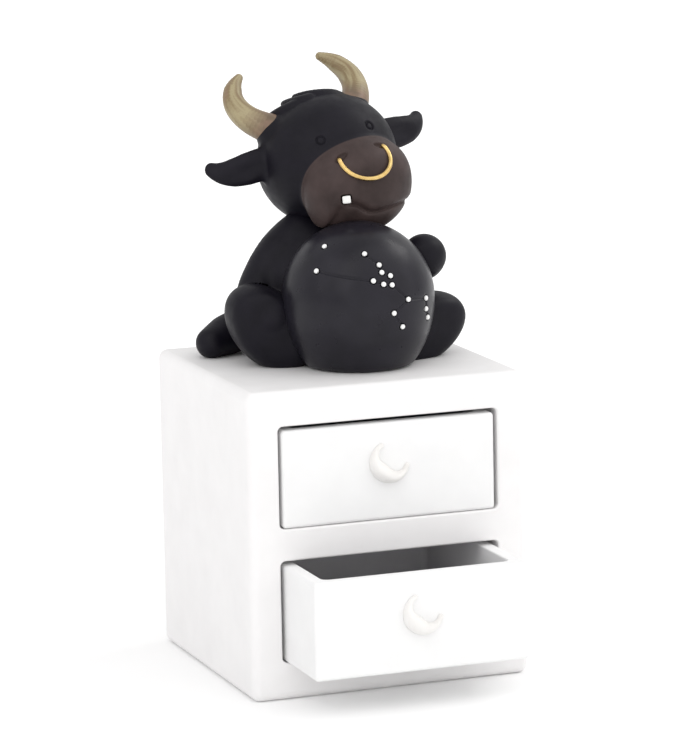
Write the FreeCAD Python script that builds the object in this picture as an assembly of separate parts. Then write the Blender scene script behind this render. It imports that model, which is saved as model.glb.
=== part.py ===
import FreeCAD, Part
import math
import os

from FreeCAD import Matrix, Placement, Rotation, Vector

# A keepsake box for milk teeth: a small cabinet with two drawers, and on its lid a seated bull that hugs
# a star globe. Millimetres, +Z up. The origin is the middle of the cabinet's base, and the drawers open
# towards -Y. Left and right are the bull's own, so its left side is towards +X.

# Drawers
DRAWER_WIDTH = 49.6
DRAWER_HEIGHT = 21.6
DRAWER_LENGTH = 56.5
DRAWER_WALL = 3.2
DRAWER_FLOOR = 3.0
DRAWER_EDGE_RADIUS = 0.8
DRAWER_INNER_RADIUS = 1.5
DRAWER_SIDE_GAP = 0.8
DRAWER_TOP_GAP = 1.0
DRAWER_FLOOR_GAP = 0.1
DRAWER_BACK_GAP = 1.0
LOWER_DRAWER_PULLED = 18.8

# Cabinet
SIDE_WALL = 6.9
BACK_WALL = 5.7
BASE_WALL = 8.4
SHELF = 7.1
LID_WALL = 7.8
CABINET_EDGE_RADIUS = 2.0
OPENING_CORNER_RADIUS = 1.2

# Moon pulls
MOON_RADIUS = 4.7
MOON_BELLY = 3.8
MOON_TIP = 0.9
MOON_PROUD = 3.4
MOON_TIP_PROUD = 1.4
MOON_SWEEP = 230.0
MOON_BELLY_ANGLE = 231.0
PULL_RISE = 2.0
PULL_PEG_RADIUS = 1.0
PULL_PEG_LENGTH = 2.0

# Star globe
GLOBE_RADIUS = 17.1
GLOBE_CENTRE_HEIGHT = 15.1
GLOBE_FOOT_RADIUS = 11.7
GLOBE_FOOT_EDGE = 0.6
GLOBE_X = 2.2
GLOBE_Y = -8.0
STAR_RADIUS = 0.65
STAR_LINE_RADIUS = 0.16
# Azimuth from the front towards +X, then elevation, in degrees
STAR_ANGLES = [
    (-60, 49), (-57, 28), (-13, 43), (-1, 33), (0, 27), (7, 24), (-8, 21), (0, 18),
    (7, 17), (20, 5), (41, 3), (41, -5), (45, -12), (7, -4), (15, -15),
]
STAR_LINES = [(1, 6), (2, 3), (3, 4), (6, 7), (7, 8), (8, 9), (9, 10), (10, 11), (11, 12), (9, 13), (13, 14)]

# Seated body, with heights above the lid
TORSO_HALF = (17.0, 14.5, 19.0)
TORSO_X = 0.0
TORSO_SETBACK = 19.0
TORSO_HEIGHT = 14.0
TORSO_LEAN = 12.0
RIGHT_LEG_HALF = (7.8, 11.0, 11.7)
RIGHT_LEG_STANDOFF = 1.1
RIGHT_LEG_SETBACK = 8.5
RIGHT_LEG_HEIGHT = 8.2
RIGHT_LEG_TILT = -41.0
LEFT_LEG_HALF = (7.6, 11.0, 12.6)
LEFT_LEG_STANDOFF = -1.8
LEFT_LEG_SETBACK = 5.5
LEFT_LEG_HEIGHT = 5.6
LEFT_LEG_TILT = 66.0
SHOULDER_RADIUS = 4.8
SHOULDER_SPREAD = 7.6
SHOULDER_SETBACK = 16.5
RIGHT_SHOULDER_HEIGHT = 28.0
LEFT_SHOULDER_HEIGHT = 22.5
RIGHT_UPPER_DROP = 7.6
LEFT_UPPER_DROP = 3.8
RIGHT_ELBOW_DROP = 0.5
LEFT_ELBOW_DROP = 3.8
RIGHT_ELBOW_SPREAD = 4.6
LEFT_ELBOW_SPREAD = 2.2
WRIST_RADIUS = 4.2
HAND_RADIUS = 5.0
HAND_STANDOFF = 0.4
RIGHT_HAND_SETBACK = 5.0
LEFT_HAND_SETBACK = 4.0
RIGHT_HAND_HEIGHT = 13.0
LEFT_HAND_HEIGHT = 22.6
TAIL_ROOT = (-5.0, 10.0, 6.0)
TAIL_HIP = (-14.0, 11.0, 6.0)
TAIL_BEND = (-20.0, 7.0, 4.4)
TAIL_TIP = (-24.6, 4.2, 3.3)
TAIL_RADII = [3.4, 4.2, 4.8, 4.6, 3.6]

# Head, in its own turned frame, with -Y forwards
HEAD_HALF = (16.2, 15.2, 15.0)
HEAD_X = 2.8
HEAD_SETBACK = 20.0
HEAD_RISE = 11.5
HEAD_YAW = 8.0
HEAD_PITCH = -14.0
HEAD_ROLL = -9.5
FACE_SHIFT = -0.6
EYE_DIRECTION = (6.2, -12.9, 4.6)
EYE_RING_RADIUS = 0.85
EYE_GROOVE_RADIUS = 0.22
MUZZLE_HALF = (13.0, 9.1, 9.7)
MUZZLE_INSET = 4.3
MUZZLE_DROP = 6.2
JOWL_HALF = (12.8, 8.7, 9.6)
JOWL_INSET = 1.2
JOWL_DROP = 3.0
# Across and up from the head's centre, from the right jowl past the tooth to the left corner of the mouth
MOUTH_LINE = [
    (-11.4, -15.6), (-10.9, -13.1), (-9.4, -11.0), (-7.6, -10.7), (-5.0, -11.8),
    (-2.6, -13.8), (0.2, -14.35), (4.0, -14.1), (8.0, -13.75), (12.0, -13.5),
]
NOSTRIL_DIRECTION = (5.2, -6.2, 5.5)
NOSTRIL_HALF = (1.5, 1.6, 0.9)
NOSTRIL_TILT = 18.0
RING_WIRE_RADIUS = 0.45
RING_DROP = 6.45
RING_SWING = -0.4
RING_STANDOFF = 0.8
RING_SUNK = 3.0
JAW_STEP = 0.4
TOOTH_WIDTH = 2.0
TOOTH_HEIGHT = 1.8
TOOTH_DEPTH = 1.4
TOOTH_EDGE_RADIUS = 0.3
TOOTH_DIRECTION = (-6.9, -6.1, -3.5)
TOOTH_ROLL = 9.5
HORN_ROOT_RADIUS = 3.6
HORN_TIP_RADIUS = 1.9
HORN_ROOT_DIRECTION = (11.5, 1.5, 10.0)
BROW_RADIUS = 4.0
BROW_SUNK = 1.7
HORN_ROOT = (-2.6, -1.2, -1.4)
HORN_LOW = (5.2, 2.6, 3.2)
HORN_HIGH = (4.7, 6.7, 9.0)
HORN_TIP = (-0.2, 7.9, 12.4)
LEFT_EAR_DIRECTION = (13.5, 0.4, 1.6)
RIGHT_EAR_DIRECTION = (13.5, 0.4, 2.6)
EAR_ROOT = (-2.5, 0.0, -0.2)
EAR_INNER = (3.6, 0.0, 0.4)
EAR_OUTER = (8.4, 1.2, -1.0)
EAR_TIP = (11.9, 3.0, 1.4)
EAR_HALF_WIDTHS = [3.4, 3.8, 3.7, 3.2, 2.2, 0.9]
EAR_FLATNESS = 0.46
EAR_HOLLOW_CENTRE = (6.3, -2.0, 0.0)
EAR_HOLLOW_HALF = (4.2, 1.7, 2.3)
HAIR_LOCKS = 7
HAIR_LOCK_HALF = (3.4, 4.6, 1.25)
HAIR_SPREAD = 62.0
HAIR_SETBACK = 0.12
HAIR_SWEEP = 25.0
HAIR_LEAN = -9.0
HAIR_SUNK = 0.4

# Everything below follows from the sizes above
OPENING_WIDTH = DRAWER_WIDTH + 2 * DRAWER_SIDE_GAP
OPENING_HEIGHT = DRAWER_HEIGHT + DRAWER_FLOOR_GAP + DRAWER_TOP_GAP
OPENING_DEPTH = DRAWER_LENGTH + DRAWER_BACK_GAP
CABINET_WIDTH = OPENING_WIDTH + 2 * SIDE_WALL
CABINET_DEPTH = OPENING_DEPTH + BACK_WALL
LOWER_OPENING_Z = BASE_WALL
UPPER_OPENING_Z = BASE_WALL + OPENING_HEIGHT + SHELF
LID_Z = UPPER_OPENING_Z + OPENING_HEIGHT + LID_WALL
FRONT_Y = -CABINET_DEPTH / 2
GLOBE_CENTRE = Vector(GLOBE_X, GLOBE_Y, LID_Z + GLOBE_CENTRE_HEIGHT)
GLOBE_LOWER_HALF = GLOBE_CENTRE_HEIGHT / math.sqrt(1 - (GLOBE_FOOT_RADIUS / GLOBE_RADIUS) ** 2)
HEAD_CENTRE = Vector(HEAD_X, GLOBE_Y + HEAD_SETBACK, GLOBE_CENTRE.z + GLOBE_RADIUS + HEAD_RISE)

MOON_STEPS = 12
RING_BEND_SWELL = 1.05
LIMB_STEPS = 17
LIMB_END_FLAT = 0.06
LIMB_ROUNDING = 8
# The arms bend in planes nearly square to this
ARM_ACROSS = Vector(0.5, 0, 0.85)
X_AXIS = Vector(1, 0, 0)
Y_AXIS = Vector(0, 1, 0)
Z_AXIS = Vector(0, 0, 1)
ORIGIN = Vector(0, 0, 0)


class Egg:
    """A rounded form with three half sizes, turned about its centre."""

    def __init__(self, centre, half_sizes, turn=Rotation()):
        self.centre = centre
        self.half_sizes = half_sizes
        self.turn = turn

    def solid(self):
        scale = Matrix()
        scale.scale(*self.half_sizes)
        body = Part.makeSphere(1.0).transformGeometry(scale)
        body.Placement = Placement(self.centre, self.turn)
        return body

    def surface(self, direction):
        """Where a ray from the centre, given in the egg's own axes, leaves the surface."""
        reach = math.sqrt(sum((d / h) ** 2 for d, h in zip(direction, self.half_sizes)))
        return self.centre + self.turn.multVec(Vector(*direction) * (1 / reach))

    def normal(self, direction):
        """The outward normal where that ray leaves the surface."""
        gradient = Vector(*(d / h**2 for d, h in zip(direction, self.half_sizes)))
        return self.turn.multVec(gradient).normalize()


def one_solid(shape):
    """The largest solid of a cut, so that no crumb is left beside it."""
    return max(shape.Solids, key=lambda solid: solid.Volume)


def rounded_box(width, depth, height, radius, edges=None):
    """A box on z = 0, centred in x and y, with the edges that the test picks rounded, or all of them."""
    box = Part.makeBox(width, depth, height, Vector(-width / 2, -depth / 2, 0))
    picked = [edge for edge in box.Edges if edges is None or edges(edge)]
    return box.makeFillet(radius, picked)


def runs_along(axis):
    """A test for straight edges that run along an axis."""
    def test(edge):
        return abs(abs(edge.tangentAt(edge.FirstParameter).dot(axis)) - 1) < 1e-6
    return test


def oval_arcs(centre, along, across, half_across, half_other, first, count):
    """Quarter arcs of an oval square to along, with its longer half size towards across."""
    ellipse = Part.Ellipse(ORIGIN, half_across, half_other)
    ellipse.Center = centre
    ellipse.Axis = along
    ellipse.XAxis = across
    quarters = [math.pi / 2 * (first + i) for i in range(count + 1)]
    return [Part.ArcOfEllipse(ellipse, *pair).toShape() for pair in zip(quarters, quarters[1:])]


def oval(centre, along, across, half_across, half_other):
    """A closed oval of four arcs."""
    return Part.Wire(oval_arcs(centre, along, across, half_across, half_other, 0, 4))


def between(values, share):
    """The value at a share of the way along a list of even steps."""
    place = min(share, 1.0) * (len(values) - 1)
    step = min(int(place), len(values) - 2)
    return values[step] + (values[step + 1] - values[step]) * (place - step)


def limb(poles, half_widths, across, flatness=1.0):
    """A limb along a smooth curve: a loft through evenly spaced ovals, with a rounded far end."""
    curve = Part.BezierCurve()
    curve.setPoles(poles)
    length = curve.length()
    reach = half_widths[-1] * flatness
    sections = []
    for step in range(LIMB_STEPS):
        share = step / (LIMB_STEPS - 1 + LIMB_END_FLAT)
        distance = (length + reach) * share
        place = curve.parameterAtDistance(min(distance, length), 0.0)
        along = curve.tangent(place)[0]
        past = max(distance - length, 0.0)
        width = between(half_widths, share) * math.sqrt(1 - share**LIMB_ROUNDING)
        side = (across - along * across.dot(along)).normalize()
        sections.append(oval(curve.value(place) + along * past, along, side, width, width * flatness))
    return Part.makeLoft(sections, True, False)


def above_lid(shape):
    """What of a shape stands above the lid, cut flat where it sits."""
    size = 4 * CABINET_WIDTH
    below = Part.makeBox(size, size, size, Vector(-size / 2, -size / 2, LID_Z - size))
    return one_solid(shape.cut(below))


# Cabinet and drawers


def opening(z):
    """The space that a drawer slides in, running out through the front."""
    overrun = CABINET_EDGE_RADIUS + DRAWER_BACK_GAP
    space = rounded_box(
        OPENING_WIDTH, OPENING_DEPTH + overrun, OPENING_HEIGHT, OPENING_CORNER_RADIUS, runs_along(Y_AXIS)
    )
    space.translate(Vector(0, FRONT_Y + (OPENING_DEPTH - overrun) / 2, z))
    return space


def cabinet():
    block = rounded_box(CABINET_WIDTH, CABINET_DEPTH, LID_Z, CABINET_EDGE_RADIUS)
    for z in (LOWER_OPENING_Z, UPPER_OPENING_Z):
        block = block.cut(opening(z))
    return one_solid(block)


def drawer(opening_z, pulled):
    """An open tray with a peg hole in its front, and the crescent pull that sits in that hole."""
    front = FRONT_Y - pulled
    floor_z = opening_z + DRAWER_FLOOR_GAP
    tray = rounded_box(DRAWER_WIDTH, DRAWER_LENGTH, DRAWER_HEIGHT, DRAWER_EDGE_RADIUS)
    inside = rounded_box(
        DRAWER_WIDTH - 2 * DRAWER_WALL,
        DRAWER_LENGTH - 2 * DRAWER_WALL,
        2 * DRAWER_HEIGHT,
        DRAWER_INNER_RADIUS,
    )
    inside.translate(Vector(0, 0, DRAWER_FLOOR))
    tray = tray.cut(inside)
    tray.translate(Vector(0, front + DRAWER_LENGTH / 2, floor_z))
    centre = Vector(0, front, floor_z + DRAWER_HEIGHT / 2 + PULL_RISE)
    return one_solid(tray.cut(pull_peg(centre))), moon_pull(centre)


def pull_peg(centre):
    """The peg behind a pull's belly, which is also the shape of its hole."""
    angle = math.radians(MOON_BELLY_ANGLE)
    belly = Vector(math.cos(angle), 0, math.sin(angle)) * (MOON_RADIUS - MOON_BELLY / 2)
    return Part.makeCylinder(PULL_PEG_RADIUS, PULL_PEG_LENGTH, centre + belly, Y_AXIS)


def moon_pull(centre):
    """A puffed crescent with a flat back on the drawer's front and a peg behind its belly."""
    sections = []
    for step in range(MOON_STEPS + 1):
        share = 2 * step / MOON_STEPS - 1
        swell = math.cos(share * math.pi / 2) ** 2
        thickness = MOON_TIP + (MOON_BELLY - MOON_TIP) * swell
        proud = MOON_TIP_PROUD + (MOON_PROUD - MOON_TIP_PROUD) * swell
        angle = math.radians(MOON_BELLY_ANGLE + share * MOON_SWEEP / 2)
        outwards = Vector(math.cos(angle), 0, math.sin(angle))
        along = Vector(-math.sin(angle), 0, math.cos(angle))
        middle = centre + outwards * (MOON_RADIUS - thickness / 2)
        front = oval_arcs(middle, along, -Y_AXIS, proud, thickness / 2, -1, 2)
        back = Part.makeLine(front[-1].lastVertex(True).Point, front[0].firstVertex(True).Point)
        sections.append(Part.Wire([*front, back]))
    crescent = Part.makeLoft(sections, True, False)
    return one_solid(crescent.fuse(pull_peg(centre)))


# Star globe


def globe_point(angles):
    """The point of the globe's surface at an azimuth and an elevation."""
    azimuth, elevation = (math.radians(angle) for angle in angles)
    level = math.cos(elevation)
    direction = Vector(math.sin(azimuth) * level, -math.cos(azimuth) * level, math.sin(elevation))
    half_height = GLOBE_RADIUS if direction.z >= 0 else GLOBE_LOWER_HALF
    reach = math.sqrt((level / GLOBE_RADIUS) ** 2 + (direction.z / half_height) ** 2)
    return GLOBE_CENTRE + direction * (1 / reach)


def star_line(first, second):
    """A thin round bar along the surface between two stars."""
    start, end = globe_point(first), globe_point(second)
    middle = globe_point([(a + b) / 2 for a, b in zip(first, second)])
    path = Part.Arc(start, middle, end).toShape()
    along = path.tangentAt(path.FirstParameter)
    section = Part.Wire(Part.Circle(start, along, STAR_LINE_RADIUS).toShape())
    return Part.Wire(path).makePipeShell([section], True, False)


def star_globe():
    """The globe on its flat foot, pitted for the stars and engraved between them."""
    size = 4 * GLOBE_RADIUS
    corner = GLOBE_CENTRE - Vector(size / 2, size / 2, 0)
    upper = Part.makeSphere(GLOBE_RADIUS, GLOBE_CENTRE).common(Part.makeBox(size, size, size, corner))
    lower_half = (GLOBE_RADIUS, GLOBE_RADIUS, GLOBE_LOWER_HALF)
    band = Part.makeBox(size, size, GLOBE_CENTRE_HEIGHT, corner - Z_AXIS * GLOBE_CENTRE_HEIGHT)
    lower = one_solid(Egg(GLOBE_CENTRE, lower_half).solid().common(band))
    foot_edges = [edge for edge in lower.Edges if edge.BoundBox.ZMax < LID_Z + GLOBE_FOOT_EDGE]
    globe = upper.fuse(lower.makeFillet(GLOBE_FOOT_EDGE, foot_edges))
    engraving = [star_line(STAR_ANGLES[first], STAR_ANGLES[second]) for first, second in STAR_LINES]
    for tool in engraving + star_beads().Solids:
        globe = globe.cut(tool)
    return one_solid(globe)


def star_beads():
    """One bead for each star, half sunk in the globe."""
    return Part.Compound([Part.makeSphere(STAR_RADIUS, globe_point(angles)) for angles in STAR_ANGLES])


# Seated body


def leg(side, half_sizes, standoff, setback, height, tilt):
    """A plump leg beside the globe, sole forwards, flat where it sits."""
    centre = Vector(GLOBE_X + side * (GLOBE_RADIUS + standoff), GLOBE_Y + setback, LID_Z + height)
    return above_lid(Egg(centre, half_sizes, Rotation(Y_AXIS, tilt)).solid())


def right_leg():
    return leg(-1, RIGHT_LEG_HALF, RIGHT_LEG_STANDOFF, RIGHT_LEG_SETBACK, RIGHT_LEG_HEIGHT, RIGHT_LEG_TILT)


def left_leg():
    return leg(1, LEFT_LEG_HALF, LEFT_LEG_STANDOFF, LEFT_LEG_SETBACK, LEFT_LEG_HEIGHT, LEFT_LEG_TILT)


def torso():
    centre = Vector(TORSO_X, GLOBE_Y + TORSO_SETBACK, LID_Z + TORSO_HEIGHT)
    return above_lid(Egg(centre, TORSO_HALF, Rotation(X_AXIS, TORSO_LEAN)).solid())


def arm(shoulder_height, upper_drop, elbow_drop, elbow_spread, hand_setback, hand_height):
    """A left arm: from the shoulder round the elbow to a hand laid on the globe's side."""
    hand = Vector(GLOBE_X + GLOBE_RADIUS + HAND_STANDOFF, GLOBE_Y + hand_setback, LID_Z + hand_height)
    shoulder = Vector(GLOBE_X + SHOULDER_SPREAD, GLOBE_Y + SHOULDER_SETBACK, LID_Z + shoulder_height)
    upper = Vector(hand.x + elbow_spread / 2, shoulder.y, shoulder.z - upper_drop)
    elbow = Vector(hand.x + elbow_spread, (hand.y + shoulder.y) / 2, hand.z - elbow_drop)
    radii = [SHOULDER_RADIUS, SHOULDER_RADIUS, WRIST_RADIUS, WRIST_RADIUS, HAND_RADIUS]
    return limb([shoulder, upper, elbow, hand], radii, ARM_ACROSS)


def left_arm():
    return arm(
        LEFT_SHOULDER_HEIGHT,
        LEFT_UPPER_DROP,
        LEFT_ELBOW_DROP,
        LEFT_ELBOW_SPREAD,
        LEFT_HAND_SETBACK,
        LEFT_HAND_HEIGHT,
    )


def right_arm():
    outline = arm(
        RIGHT_SHOULDER_HEIGHT,
        RIGHT_UPPER_DROP,
        RIGHT_ELBOW_DROP,
        RIGHT_ELBOW_SPREAD,
        RIGHT_HAND_SETBACK,
        RIGHT_HAND_HEIGHT,
    )
    return outline.mirror(Vector(GLOBE_X, 0, 0), X_AXIS)


def tail():
    """A thick tail that comes round the right hip and lies on the lid."""
    back = Vector(TORSO_X, GLOBE_Y + TORSO_SETBACK, LID_Z)
    poles = [back + Vector(*offset) for offset in (TAIL_ROOT, TAIL_HIP, TAIL_BEND, TAIL_TIP)]
    return above_lid(limb(poles, TAIL_RADII, Z_AXIS))


# Head, made upright about its own centre


def head_egg():
    return Egg(ORIGIN, HEAD_HALF)


def muzzle_egg():
    return Egg(Vector(0, MUZZLE_INSET - HEAD_HALF[1], -MUZZLE_DROP), MUZZLE_HALF)


def face_solid(step):
    """The snout with its full jowls, shrunk all round by a small step."""
    snout = muzzle_egg()
    jowls = Egg(snout.centre + Vector(0, JOWL_INSET, -JOWL_DROP), JOWL_HALF)
    eggs = [Egg(egg.centre, [half - step for half in egg.half_sizes]) for egg in (snout, jowls)]
    return eggs[0].solid().fuse(eggs[1].solid())


def mouth_space():
    """What the lower jaw fills: all that lies below the line of the mouth."""
    front = -2 * HEAD_HALF[1]
    below = -2 * HEAD_HALF[2]
    points = [Vector(x, front, z) for x, z in MOUTH_LINE]
    line = Part.BSplineCurve()
    line.interpolate(points)
    corners = [points[-1], Vector(points[-1].x, front, below), Vector(points[0].x, front, below), points[0]]
    outline = Part.Wire([line.toShape(), *Part.makePolygon(corners).Edges])
    return Part.Face(outline).extrude(Y_AXIS * -front)


def lower_jaw():
    """The lower lip and chin, a small step behind the muzzle's own surface."""
    return one_solid(face_solid(JAW_STEP).common(mouth_space()))


def on_side(direction, side):
    """A direction on one side of the face, whose middle is a little off the head's own."""
    return (FACE_SHIFT + side * direction[0], direction[1], direction[2])


def muzzle():
    """The snout down to the upper lip, with a jowl on each side of the mouth."""
    return one_solid(face_solid(0).cut(mouth_space()))


def skull():
    """The head with a swell round each horn and a ring engraved for each eye."""
    solid = head_egg().solid()
    for side in (-1, 1):
        brow = (side * HORN_ROOT_DIRECTION[0], *HORN_ROOT_DIRECTION[1:])
        middle = head_egg().surface(brow) - head_egg().normal(brow) * BROW_SUNK
        solid = solid.fuse(Part.makeSphere(BROW_RADIUS, middle))
    for side in (-1, 1):
        direction = on_side(EYE_DIRECTION, side)
        ring = Part.makeTorus(
            EYE_RING_RADIUS, EYE_GROOVE_RADIUS, head_egg().surface(direction), head_egg().normal(direction)
        )
        solid = solid.cut(ring)
    return one_solid(solid)


def nostrils():
    """The two hollows that the nose ring goes into."""
    hollows = []
    for side in (-1, 1):
        direction = on_side(NOSTRIL_DIRECTION, side)
        turn = Rotation(Y_AXIS, side * NOSTRIL_TILT)
        hollows.append(Egg(muzzle_egg().surface(direction), NOSTRIL_HALF, turn).solid())
    return hollows[0].fuse(hollows[1])


def nose_ring():
    """A wire hoop that hangs from both nostrils, each end bent into the snout."""
    sides = [on_side(NOSTRIL_DIRECTION, side) for side in (-1, 1)]
    ends = [muzzle_egg().surface(direction) for direction in sides]
    front = muzzle_egg().surface((0, -1, 0)).y - RING_STANDOFF - RING_WIRE_RADIUS
    path = Part.Arc(ends[0], Vector(RING_SWING, front, ends[0].z - RING_DROP), ends[1]).toShape()
    along = path.tangentAt(path.FirstParameter)
    section = Part.Wire(Part.Circle(ends[0], along, RING_WIRE_RADIUS).toShape())
    ring = Part.Wire(path).makePipeShell([section], True, False).Solids[0]
    for direction, end in zip(sides, ends):
        inwards = muzzle_egg().normal(direction) * -1
        ring = ring.fuse(Part.makeSphere(RING_WIRE_RADIUS * RING_BEND_SWELL, end))
        ring = ring.fuse(Part.makeCylinder(RING_WIRE_RADIUS, RING_SUNK, end, inwards))
    return one_solid(ring)


def milk_tooth():
    """One square tooth at the corner of the mouth, half sunk in the lip behind it."""
    tooth = rounded_box(TOOTH_WIDTH, TOOTH_DEPTH, TOOTH_HEIGHT, TOOTH_EDGE_RADIUS)
    tooth.translate(Vector(0, 0, -TOOTH_HEIGHT / 2))
    normal = muzzle_egg().normal(TOOTH_DIRECTION)
    turn = Rotation(Z_AXIS, math.degrees(math.atan2(normal.x, -normal.y))) * Rotation(Y_AXIS, TOOTH_ROLL)
    tooth.Placement = Placement(muzzle_egg().surface(TOOTH_DIRECTION), turn) * tooth.Placement
    return tooth


def left_horn():
    """A horn that leaves the side of the brow and curls up and in to a blunt tip."""
    brow = head_egg().surface(HORN_ROOT_DIRECTION)
    poles = [brow + Vector(*offset) for offset in (HORN_ROOT, HORN_LOW, HORN_HIGH, HORN_TIP)]
    return limb(poles, [HORN_ROOT_RADIUS, HORN_TIP_RADIUS], Y_AXIS)


def left_ear(root_direction):
    """A leaf shaped ear that stands out level, hollowed in front."""
    temple = head_egg().surface(root_direction)
    poles = [temple + Vector(*offset) for offset in (EAR_ROOT, EAR_INNER, EAR_OUTER, EAR_TIP)]
    leaf = limb(poles, EAR_HALF_WIDTHS, Z_AXIS, EAR_FLATNESS)
    hollow = Egg(temple + Vector(*EAR_HOLLOW_CENTRE), EAR_HOLLOW_HALF)
    return one_solid(leaf.cut(hollow.solid()))


def hair_tuft():
    """Overlapping locks laid across the crown from horn to horn."""
    tuft = None
    for lock in range(HAIR_LOCKS):
        roll = HAIR_SPREAD * (lock / (HAIR_LOCKS - 1) - 0.5)
        angle = math.radians(roll)
        direction = (math.sin(angle), HAIR_SETBACK, math.cos(angle))
        crown = head_egg().surface(direction) - head_egg().normal(direction) * HAIR_SUNK
        turn = Rotation(Y_AXIS, roll) * Rotation(Z_AXIS, HAIR_SWEEP) * Rotation(X_AXIS, HAIR_LEAN)
        solid = Egg(crown, HAIR_LOCK_HALF, turn).solid()
        tuft = solid if tuft is None else tuft.fuse(solid)
    return tuft


def head_parts():
    """The head's pieces, each cut by the larger ones that it grows from, then turned into place."""
    pieces = {
        "head": skull(),
        "muzzle": muzzle(),
        "lower_jaw": lower_jaw(),
        "nose_ring": nose_ring(),
        "milk_tooth": milk_tooth(),
        "right_horn": left_horn().mirror(ORIGIN, X_AXIS),
        "left_horn": left_horn(),
        "right_ear": left_ear(RIGHT_EAR_DIRECTION).mirror(ORIGIN, X_AXIS),
        "left_ear": left_ear(LEFT_EAR_DIRECTION),
        "hair_tuft": hair_tuft(),
    }
    carve(pieces, "muzzle", "head")
    carve(pieces, "lower_jaw", "head", "muzzle", "milk_tooth")
    carve(pieces, "muzzle", "milk_tooth")
    pieces["muzzle"] = one_solid(pieces["muzzle"].cut(nostrils()))
    carve(pieces, "muzzle", "nose_ring")
    for side in ("left", "right"):
        carve(pieces, side + "_horn", "head")
        carve(pieces, side + "_ear", "head", side + "_horn")
    carve(pieces, "hair_tuft", "head", "left_horn", "right_horn", "left_ear", "right_ear")
    turn = Rotation(Z_AXIS, HEAD_YAW) * Rotation(X_AXIS, HEAD_PITCH) * Rotation(Y_AXIS, HEAD_ROLL)
    for shape in pieces.values():
        shape.Placement = Placement(HEAD_CENTRE, turn) * shape.Placement
    return pieces


# Assembly


def carve(pieces, name, *larger):
    """Cuts a piece back to the surfaces of the larger ones that it meets."""
    for other in larger:
        pieces[name] = one_solid(pieces[name].cut(pieces[other]))


def figure_parts():
    pieces = {
        "star_globe": star_globe(),
        "star_beads": star_beads(),
        "right_leg": right_leg(),
        "left_leg": left_leg(),
        "torso": torso(),
        "right_arm": right_arm(),
        "left_arm": left_arm(),
        "tail": tail(),
    }
    pieces.update(head_parts())
    for name in ("head", "muzzle", "lower_jaw", "right_leg", "left_leg"):
        carve(pieces, name, "star_globe")
    carve(pieces, "torso", "star_globe", "head", "muzzle", "lower_jaw", "right_leg", "left_leg")
    for name in ("right_arm", "left_arm"):
        carve(pieces, name, "torso", "star_globe", "head", "muzzle", "lower_jaw", "right_leg", "left_leg")
    carve(pieces, "tail", "torso", "right_leg", "right_arm")
    return pieces


def main():
    pieces = figure_parts()
    pieces["cabinet"] = cabinet()
    pieces["upper_drawer"], pieces["upper_moon_pull"] = drawer(UPPER_OPENING_Z, 0.0)
    pieces["lower_drawer"], pieces["lower_moon_pull"] = drawer(LOWER_OPENING_Z, LOWER_DRAWER_PULLED)
    os.makedirs("parts", exist_ok=True)
    for name, shape in pieces.items():
        shape.exportStep(os.path.join("parts", name + ".step"))
        print(f"{name}: {len(shape.Solids)} solid, valid {shape.isValid()}, {shape.Volume:.1f} mm3")


main()
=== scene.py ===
import itertools
import math
from collections import Counter

import bpy
import numpy as np
from mathutils import Matrix, Vector
from mathutils.geometry import tessellate_polygon


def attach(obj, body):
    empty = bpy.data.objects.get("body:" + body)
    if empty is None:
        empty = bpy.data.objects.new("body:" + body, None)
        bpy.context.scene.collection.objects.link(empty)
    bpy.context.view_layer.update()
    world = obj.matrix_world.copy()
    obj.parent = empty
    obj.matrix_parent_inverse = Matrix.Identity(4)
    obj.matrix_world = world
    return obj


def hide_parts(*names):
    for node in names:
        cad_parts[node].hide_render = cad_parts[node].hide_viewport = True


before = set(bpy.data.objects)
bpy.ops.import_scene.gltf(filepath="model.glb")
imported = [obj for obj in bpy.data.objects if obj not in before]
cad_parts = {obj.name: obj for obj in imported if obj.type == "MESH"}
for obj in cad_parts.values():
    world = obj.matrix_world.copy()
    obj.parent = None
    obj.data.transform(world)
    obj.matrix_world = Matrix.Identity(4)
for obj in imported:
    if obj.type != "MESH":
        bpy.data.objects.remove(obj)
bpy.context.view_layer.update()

# Sizes are in millimetres and follow the model's own. Pieces are turned into metres when they are made.
MM = 0.001
FAR = 6.0
MARGIN = 2.5
ROOM = 1.0
TINY = 1e-6
LEAST_SLOPE = 0.3
SURFACE_PASSES = 2
CAP_DEPTH = 1 / 3

# Cabinet and drawers
CABINET_SIZE = (65.0, 63.2, 68.7)
CABINET_EDGE_RADIUS = 2.0
OPENING_WIDTH = 51.2
OPENING_HEIGHT = 22.7
OPENING_DEPTH = 57.5
OPENING_CORNER_RADIUS = 1.2
OPENING_RIM_RADIUS = 0.5
LOWER_OPENING_Z = 8.4
UPPER_OPENING_Z = 38.2
LID_Z = 68.7
FRONT_Y = -31.6
DRAWER_SIZE = (49.6, 56.5, 21.6)
DRAWER_WALL = 3.2
DRAWER_FLOOR = 3.0
DRAWER_EDGE_RADIUS = 0.8
DRAWER_INNER_RADIUS = 1.5
DRAWER_RIM_RADIUS = 0.4
DRAWER_FLOOR_GAP = 0.1
LOWER_DRAWER_PULLED = 18.8
CORNER_STEPS = 7
EDGE_STEPS = 7
LEAST_RADIUS = 0.02

# Moon pulls
MOON_RADIUS = 4.7
MOON_BELLY = 3.8
MOON_TIP = 1.1
MOON_PROUD = 1.8
MOON_SWEEP = 230.0
MOON_BELLY_ANGLE = 231.0
MOON_STEPS = 40
MOON_CELL = 0.13
PULL_HEIGHT = 12.8

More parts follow.
